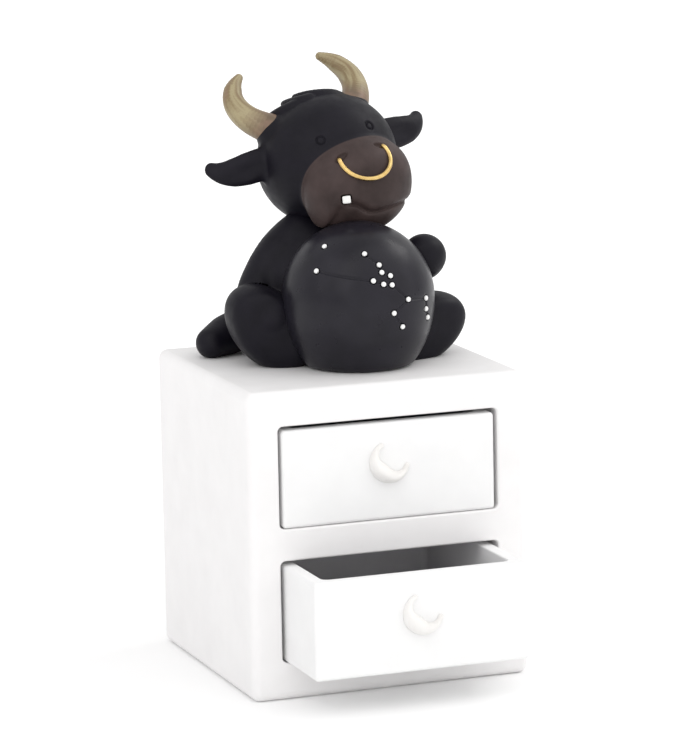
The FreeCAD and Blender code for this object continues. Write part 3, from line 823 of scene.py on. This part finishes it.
def make_cabinet(material):
    """The block, with an opening for each drawer. Its axis runs forwards."""
    width, depth, height = CABINET_SIZE
    edge, rim, front = CABINET_EDGE_RADIUS, OPENING_RIM_RADIUS, depth / 2
    shell = Shell((1, 0, 0), (0, 0, 1), (0, -1, 0))
    rows = edge_rows(edge, edge - front, edge, -90, 0, edge, 0.0)
    rows += edge_rows(edge, front - edge, edge, 0, 90, edge, 0.0)
    back_loop, front_loop = shell.loops((0, height / 2), (width / 2, height / 2), rows)
    shell.faces.append(back_loop[::-1])
    mouths = []
    for level in (LOWER_OPENING_Z, UPPER_OPENING_Z):
        bottom = front - OPENING_DEPTH
        # Inside each opening the painted shade grows from none at the front rim to full at the back wall
        rows = edge_rows(-rim, front - rim, rim, 90, 180, OPENING_CORNER_RADIUS, 0.0)
        rows += edge_rows(rim, bottom + rim, -rim, 180, 90, OPENING_CORNER_RADIUS, 1.0)
        centre = (0, level + OPENING_HEIGHT / 2)
        mouth, end = shell.loops(centre, (OPENING_WIDTH / 2, OPENING_HEIGHT / 2), rows)
        shell.faces.append(end)
        mouths.append(mouth)
    shell.fill(front_loop, *mouths)
    place(shell.piece("cabinet_case", material), "case", "cabinet_white", "cabinet")


def make_drawer(level, opening_z, pulled, material):
    """An open tray. Its axis runs upwards."""
    width, length, height = DRAWER_SIZE
    edge, rim, inner, wall = DRAWER_EDGE_RADIUS, DRAWER_RIM_RADIUS, DRAWER_INNER_RADIUS, DRAWER_WALL
    floor = opening_z + DRAWER_FLOOR_GAP
    top = floor + height
    rows = edge_rows(edge, floor + edge, edge, -90, 0, edge, 0.0)
    rows += edge_rows(edge, top - edge, edge, 0, 90, edge, 0.0)
    # Down the tray's inner walls the painted shade grows from none at the rim to full on the floor
    rows += edge_rows(wall - rim, top - rim, rim, 90, 180, wall + inner, 0.0)
    rows += edge_rows(wall + inner, floor + DRAWER_FLOOR + inner, -inner, 180, 90, wall + inner, 1.0)
    shell = Shell((1, 0, 0), (0, 1, 0), (0, 0, 1))
    base, bed = shell.loops((0, FRONT_Y - pulled + length / 2), (width / 2, length / 2), rows)
    shell.faces.append(base[::-1])
    shell.faces.append(bed)
    name = level + "_drawer"
    place(shell.piece(name + "_tray", material), level + "_tray", "drawer_white", name)


def make_pull(level, opening_z, pulled, material):
    """A puffed crescent on a drawer's front."""
    front = FRONT_Y - pulled
    centre = np.array((0.0, front, opening_z + DRAWER_FLOOR_GAP + PULL_HEIGHT))
    share = np.linspace(-1, 1, MOON_STEPS)
    thickness = MOON_TIP + (MOON_BELLY - MOON_TIP) * np.cos(share * math.pi / 2) ** 2
    angle = np.radians(MOON_BELLY_ANGLE + share * MOON_SWEEP / 2)
    reach = MOON_RADIUS - thickness / 2
    path = np.stack([reach * np.cos(angle), np.zeros(MOON_STEPS), reach * np.sin(angle)], axis=1)
    squeeze = np.array((1.0, 1 / MOON_PROUD, 1.0))
    span = np.array((MOON_RADIUS, MOON_PROUD * MOON_BELLY / 2, MOON_RADIUS))
    low, high = centre - span, centre + span
    field = Field(low - ROOM, centre + span * (1, 0, 1) + ROOM, MOON_CELL)
    field.join(lambda points: limb((points - centre) * squeeze, path, thickness / 2), low, high, MOON_CELL)
    field.carve(lambda points: front - points[..., 1], low, high, MOON_CELL)
    points, faces, normals = field.mesh()
    name = level + "_moon_pull"
    piece = add_mesh(name + "_crescent", points, faces, material, normals)
    place(piece, level + "_tray", "moon_cream", name)


# Star globe


def globe_point(angles):
    """The point of the globe's surface at an azimuth and an elevation, and the normal there."""
    azimuth, elevation = np.radians(angles)
    level = math.cos(elevation)
    direction = np.array((math.sin(azimuth) * level, -math.cos(azimuth) * level, math.sin(elevation)))
    half_height = GLOBE_RADIUS if elevation >= 0 else GLOBE_LOWER_HALF
    return egg_surface(GLOBE_CENTRE, (GLOBE_RADIUS, GLOBE_RADIUS, half_height), direction)


def globe(points):
    upper = ball(points, GLOBE_CENTRE, GLOBE_RADIUS)
    lower = egg(points, GLOBE_CENTRE, (GLOBE_RADIUS, GLOBE_RADIUS, GLOBE_LOWER_HALF))
    round_form = np.where(points[..., 2] > GLOBE_CENTRE[2], upper, lower)
    return smooth_max(round_form, LID_Z - points[..., 2], GLOBE_FOOT_ROUNDING)


def make_globe(material):
    low, high = box_round([GLOBE_CENTRE], GLOBE_RADIUS)
    field = Field(low, high, GLOBE_CELL)
    field.join(globe, low, high, GLOBE_CELL)
    for first, second in STAR_LINES:
        shares = np.linspace(0, 1, STAR_LINE_STEPS)[:, None]
        angles = np.array(STAR_ANGLES[first]) * (1 - shares) + np.array(STAR_ANGLES[second]) * shares
        path = np.array([globe_point(pair)[0] for pair in angles])
        radii = np.full(len(path), STAR_LINE_RADIUS)
        field.carve(lambda points: limb(points, path, radii), path.min(0), path.max(0), GLOBE_CELL / 2)
    for angles in STAR_ANGLES:
        middle = globe_point(angles)[0]
        field.carve(lambda points: ball(points, middle, STAR_PIT_RADIUS), middle, middle, GLOBE_CELL)
    points, faces, normals = field.mesh()
    place(add_mesh("star_globe_ball", points, faces, material, normals), "case", "globe_grey", "star_globe")


def make_stars(material):
    """A low dome in each pit."""
    tilts = np.linspace(0, math.pi, STAR_RINGS)
    radii = STAR_RADIUS * np.maximum(np.sin(tilts) ** STAR_FULLNESS, STAR_LEAST)
    heights = STAR_PROUD * np.cos(tilts)
    points, faces = [], []
    for angles in STAR_ANGLES:
        middle, normal = globe_point(angles)
        dome, skin = tube(middle + np.outer(heights, normal), radii, STAR_SIDES)
        faces += [[at + len(points) for at in face] for face in skin]
        points += list(dome)
    place(add_mesh("star_dots", points, faces, material), "case", "star_white", "star_beads")


# Seated body


def leg(points, centre, half, tilt, way):
    """An egg shaped leg with a flat sole that looks along a way."""
    turn = turning("Y", tilt)
    way = unit(way)
    reach = np.linalg.norm(way @ turn * half)
    sole = (points - np.asarray(centre)) @ way - reach + SOLE_FLAT
    return smooth_max(egg(points, centre, half, turn), sole, SOLE_ROUNDING)


def torso(points):
    """The trunk, with a belly that fills the space between the arm, the leg and the globe."""
    trunk = egg(points, TORSO_CENTRE, TORSO_HALF, turning("X", TORSO_LEAN))
    return smooth_min(trunk, egg(points, BELLY_CENTRE, BELLY_HALF), BELLY_BLEND)


def make_body(material):
    forms = {"torso": torso}
    boxes = {"torso": box_round([TORSO_CENTRE], max(TORSO_HALF))}
    for name, shape in LEGS.items():
        forms[name] = lambda points, shape=shape: leg(points, *shape)
        boxes[name] = box_round([shape[0]], max(shape[1]))
    for name, (along, poles) in LIMBS.items():
        path, radii = limb_path(poles, along)
        forms[name] = lambda points, path=path, radii=radii: limb(points, path, radii)
        boxes[name] = box_round(path, radii.max())
    low, high = box_round(np.vstack(list(boxes.values())), 0)
    low[2] = LID_Z - ROOM
    field = Field(low, high, BODY_CELL)
    for name, blend in BODY_BLENDS.items():
        field.join(forms[name], *boxes[name], blend)
    field.carve(lambda points: points[..., 2] - LID_Z, low, (*high[:2], LID_Z), BODY_CELL)
    points, faces, normals = field.mesh()
    split_pieces(points, faces, normals, forms, material, {}, paint=np.full(len(points), -1.0))


# Head


def on_side(direction, side, shift=FACE_SHIFT):
    """A direction on one side of the face, whose middle is a little off the head's own."""
    return np.array((shift + side * direction[0], direction[1], direction[2]))


def to_part(points):
    """Points of the head's frame in the part's own."""
    return points @ HEAD_TURN.T + HEAD_CENTRE


def in_part(form):
    """A form of the head's frame, for points in the part's own."""
    return lambda points: form((points - HEAD_CENTRE) @ HEAD_TURN)


def skull(points):
    form = egg(points, (0, 0, 0), HEAD_HALF)
    for side in (-1, 1):
        brow, normal = egg_surface((0, 0, 0), HEAD_HALF, np.array(HORN_ROOT_DIRECTION) * (side, 1, 1))
        form = smooth_min(form, ball(points, brow - normal * BROW_SUNK, BROW_RADIUS), BROW_BLEND)
    return form


def face_form(points):
    """The snout with its full jowls."""
    return smooth_min(egg(points, SNOUT_CENTRE, SNOUT_HALF), egg(points, JOWL_CENTRE, JOWL_HALF), JOWL_BLEND)


def mouth_curve():
    """The mouth's line with its bends softened: across, up, and how steep it is."""
    across, up = np.transpose(MOUTH_LINE)
    fine = np.linspace(across[0], across[-1], MOUTH_SAMPLES)
    window = np.hanning(MOUTH_SMOOTHING + 2)[1:-1]
    padded = np.pad(np.interp(fine, across, up), MOUTH_SMOOTHING // 2, mode="edge")
    soft = np.convolve(padded, window / window.sum(), mode="valid")
    return fine, soft, np.gradient(soft, fine)


MOUTH_CURVE = mouth_curve()


def mouth_space(points):
    """Distance to the space below the mouth's line, seen from the front."""
    across, up, steep = MOUTH_CURVE
    rise = points[..., 2] - np.interp(points[..., 0], across, up)
    return rise / np.hypot(1, np.interp(points[..., 0], across, steep))


def jaw_form(points):
    return smooth_max(face_form(points) + JAW_STEP, mouth_space(points), LIP_ROLL)


def muzzle_form(points):
    return smooth_max(face_form(points), -mouth_space(points), LIP_ROLL)


def lips(points):
    """Muzzle and jaw together, with a sharp line between them that softens towards both cheeks."""
    softness = np.interp(points[..., 0], *LIP_SOFTNESS)
    return smooth_min(muzzle_form(points), jaw_form(points), softness)


def mouth_groove(points):
    """A thin round bar along the line of the mouth, fading out towards both cheeks."""
    radius = MOUTH_GROOVE_RADIUS * np.interp(points[..., 0], *MOUTH_GROOVE_FADE)
    return np.hypot(face_form(points) + MOUTH_GROOVE_DEPTH, mouth_space(points)) - radius


def nostril(points, side):
    middle, _ = egg_surface(SNOUT_CENTRE, SNOUT_HALF, on_side(NOSTRIL_DIRECTION, side))
    return egg(points, middle, NOSTRIL_HALF, turning("Y", side * NOSTRIL_TILT))


def eye_ring(points, side):
    middle, normal = egg_surface((0, 0, 0), HEAD_HALF, on_side(EYE_DIRECTION, side, EYE_SHIFT))
    offset = points - middle
    height = offset @ normal
    radius = np.linalg.norm(offset - height[..., None] * normal, axis=-1)
    return np.hypot(radius - EYE_RING_RADIUS, height / EYE_GROOVE_DEPTH) - EYE_GROOVE_RADII[side]


def ear_form(points, direction, side):
    """A leaf shaped ear, hollowed in front. The left one is worked out and mirrored for the right."""
    points = points * (side, 1, 1)
    temple, _ = egg_surface((0, 0, 0), HEAD_HALF, direction)
    squeeze = np.array((1.0, 1 / EAR_FLATNESS, 1.0))
    path, radii = limb_path((temple + EAR_POLES) * squeeze, EAR_RADII)
    leaf = limb(points * squeeze, path, radii) * (EAR_FLATNESS + 1) / 2
    return smooth_max(leaf, -egg(points, temple + EAR_HOLLOW_CENTRE, EAR_HOLLOW_HALF), EAR_HOLLOW_BLEND)


def lock_path(poles):
    """A lock's middle line, sunk so that it stands a little proud of the head, and its radii."""
    share = np.linspace(0, 1, LOCK_STEPS)
    knots = np.linspace(0, 1, len(LOCK_RADII))
    radii = np.interp(share, knots, LOCK_RADII)
    path = []
    for way, sunk in zip(bezier(poles, LOCK_STEPS), radii - np.interp(share, knots, LOCK_PROUD)):
        point, normal = egg_surface((0, 0, 0), HEAD_HALF, way)
        path.append(point - normal * sunk)
    return np.array(path), radii


def hair_form(points, locks):
    form = np.full(points.shape[:-1], FAR)
    for path, radii in locks:
        form = smooth_min(form, limb(points, path, radii), LOCK_BLEND)
    return form


def tooth_frame():
    """The tooth's middle on the snout and the way that it is turned."""
    middle, normal = egg_surface(SNOUT_CENTRE, SNOUT_HALF, TOOTH_DIRECTION)
    return middle, turning("Z", math.degrees(math.atan2(normal[0], -normal[1]))) @ turning("Y", TOOTH_ROLL)


def tooth_block(points, grown):
    """A square block with soft edges, in the tooth's own frame."""
    past = np.abs(points) - TOOTH_HALF + TOOTH_EDGE_RADIUS
    outside = np.linalg.norm(np.maximum(past, 0), axis=-1)
    return outside + np.minimum(past.max(axis=-1), 0) - TOOTH_EDGE_RADIUS - grown


def make_head(material):
    locks = [lock_path(poles) for poles in HAIR_LOCKS]
    forms = {
        "head": skull,
        "muzzle": muzzle_form,
        "lower_jaw": jaw_form,
        "left_ear": lambda points: ear_form(points, LEFT_EAR_DIRECTION, 1),
        "right_ear": lambda points: ear_form(points, RIGHT_EAR_DIRECTION, -1),
        "hair_tuft": lambda points: hair_form(points, locks),
    }
    field = Field(*HEAD_GRID, HEAD_CELL)
    for name, room in HEAD_JOINS.items():
        field.join(lips if name == "muzzle" else forms[name], *room)
    field.carve(mouth_groove, *MOUTH_GROOVE_CUT)
    root, turn = tooth_frame()
    field.carve(lambda points: tooth_block((points - root) @ turn, TOOTH_GAP), root, root, TOOTH_GAP_BLEND)
    for side in (-1, 1):
        field.carve(lambda points: nostril(points, side), *NOSTRIL_CUT)
        field.carve(lambda points: eye_ring(points, side), *EYE_CUT)
    points, faces, normals = field.mesh()
    paint = np.clip(np.minimum(skull(points), MUZZLE_PAINT_RISE) - face_form(points), -1, 1)
    slots = {"muzzle": "muzzle_brown", "lower_jaw": "muzzle_brown"}
    forms = {name: in_part(form) for name, form in forms.items()}
    split_pieces(to_part(points), faces, normals @ HEAD_TURN.T, forms, material, slots, paint=paint)


def make_horns(material):
    for name, side in (("left_horn", 1), ("right_horn", -1)):
        brow, _ = egg_surface((0, 0, 0), HEAD_HALF, HORN_ROOT_DIRECTION)
        path, radii = limb_path(brow + HORN_POLES, HORN_RADII, HORN_RUN_ON)
        path = path * (side, 1, 1)
        low, high = box_round(path, radii.max())
        field = Field(low, high, HORN_CELL)
        field.join(lambda points: limb(points, path, radii), low, high, HORN_CELL)
        points, faces, normals = field.mesh()
        gaps = np.linalg.norm(points[:, None] - path[None], axis=-1)
        along = np.argmin(gaps, axis=1) / (len(path) - 1)
        streaks = {"along": along, "streak_x": normals[:, 0] * side, "streak_y": normals[:, 1]}
        piece = add_mesh(name + "_curl", to_part(points), faces, material, normals @ HEAD_TURN.T, **streaks)
        place(piece, "case", "horn_beige", name)


def circle_through(first, middle, last, count):
    """Points along the arc through three points."""
    u = unit(middle - first)
    normal = unit(np.cross(u, last - first))
    v = np.cross(normal, u)
    half = np.linalg.norm(middle - first) / 2
    far = np.array(((last - first) @ u, (last - first) @ v))
    rise = (far @ far - 2 * half * far[0]) / (2 * far[1])
    centre = first + u * half + v * rise
    start, end = first - centre, last - centre
    side = np.cross(normal, start)
    sweep = math.atan2(end @ side, end @ start) % (2 * math.pi)
    turns = np.linspace(0, sweep, count)
    return centre + np.outer(np.cos(turns), start) + np.outer(np.sin(turns), side)


def make_ring(material):
    """A wire hoop that hangs from both nostrils, each end bent into the snout."""
    ends = [egg_surface(SNOUT_CENTRE, SNOUT_HALF, on_side(RING_DIRECTION, side)) for side in (-1, 1)]
    front = SNOUT_CENTRE[1] - SNOUT_HALF[1] - RING_STANDOFF - RING_WIRE_RADIUS
    low = np.array((RING_SWING, front, ends[0][0][2] - RING_DROP))
    hoop = circle_through(ends[0][0], low, ends[1][0], RING_STEPS)
    sunk = np.linspace(RING_SUNK, RING_LEAST_SUNK, RING_END_STEPS)[:, None]
    path = np.vstack([ends[0][0] - ends[0][1] * sunk, hoop, ends[1][0] - ends[1][1] * sunk[::-1]])
    points, faces = tube(to_part(path), np.full(len(path), RING_WIRE_RADIUS), RING_SIDES)
    place(add_mesh("nose_ring_hoop", points, faces, material), "case", "ring_gold", "nose_ring")


def make_tooth(material):
    middle, turn = tooth_frame()
    field = Field(-TOOTH_HALF, TOOTH_HALF, TOOTH_CELL)
    field.join(lambda points: tooth_block(points, 0.0), -TOOTH_HALF, TOOTH_HALF, TOOTH_CELL)
    points, faces, normals = field.mesh()
    points = to_part(middle + points @ turn.T)
    normals = normals @ turn.T @ HEAD_TURN.T
    piece = add_mesh("milk_tooth_square", points, faces, material, normals)
    place(piece, "case", "tooth_white", "milk_tooth")


# Stage


def make_stage():
    """A plain floor under a white surround that is dimmer on the side that the drawers open to."""
    corners = np.array([(-1, -1, 0), (1, -1, 0), (1, 1, 0), (-1, 1, 0)]) * FLOOR_REACH / MM
    add_mesh("floor", corners, [(0, 1, 2, 3)], floor_paper())
    sky = Paint(bpy.data.worlds.new("studio"), "Background")
    bpy.context.scene.world = sky.owner
    ways = sky.node("SeparateXYZ", {"Vector": sky.coords("Generated")})
    strength = sky.spread(ways.outputs["Y"], SKY_STRENGTHS, SKY_REACH)
    sky.feed(sky.inputs, {"Color": WHITE, "Strength": strength})


def add_lamp(name, kind, where, energy, colour):
    """A lamp aimed at the middle of the object."""
    lamp = bpy.data.lights.new(name, kind)
    lamp.energy = energy
    lamp.color = colour
    light = bpy.data.objects.new(name, lamp)
    light.location = where
    light.rotation_mode = "QUATERNION"
    light.rotation_quaternion = (Vector(LAMP_AIM) - light.location).to_track_quat("-Z", "Y")
    bpy.context.scene.collection.objects.link(light)
    return lamp


def make_lights():
    """A very wide sun, which lights the whole floor evenly, and two softboxes."""
    add_lamp("overcast", "SUN", *OVERCAST).angle = math.radians(OVERCAST_SPREAD)
    for name, (size, *lamp) in SOFTBOXES.items():
        add_lamp(name, "AREA", *lamp).size = size


def make_camera():
    turn = turning("Z", CAMERA_YAW) @ turning("X", 90 - CAMERA_PITCH) @ turning("Z", CAMERA_ROLL)
    eye = (CAMERA_TARGET + turn[:, 2] * CAMERA_DISTANCE) * MM
    data = bpy.data.cameras.new("camera")
    data.sensor_width = SENSOR_WIDTH
    data.lens = FOCAL_PIXELS * SENSOR_WIDTH / IMAGE_HEIGHT
    data.clip_start = CLIP_START
    camera = bpy.data.objects.new("camera", data)
    camera.matrix_world = Matrix.Translation(eye) @ Matrix(turn).to_4x4()
    bpy.context.scene.collection.objects.link(camera)
    bpy.context.scene.camera = camera


def main():
    make_camera()
    make_stage()
    make_lights()
    make_cabinet(resin("cabinet_resin"))
    for make, material in ((make_drawer, resin("drawer_resin")), (make_pull, resin("moon_resin"))):
        make("upper", UPPER_OPENING_Z, 0.0, material)
        make("lower", LOWER_OPENING_Z, LOWER_DRAWER_PULLED, material)
    make_globe(resin("globe_resin"))
    make_stars(resin("star_paint"))
    paint = bull_paint()
    make_body(paint)
    make_head(paint)
    make_horns(horn_paint())
    make_ring(gold())
    make_tooth(resin("tooth_paint"))


main()
bpy.context.scene.view_settings.view_transform = "Standard"
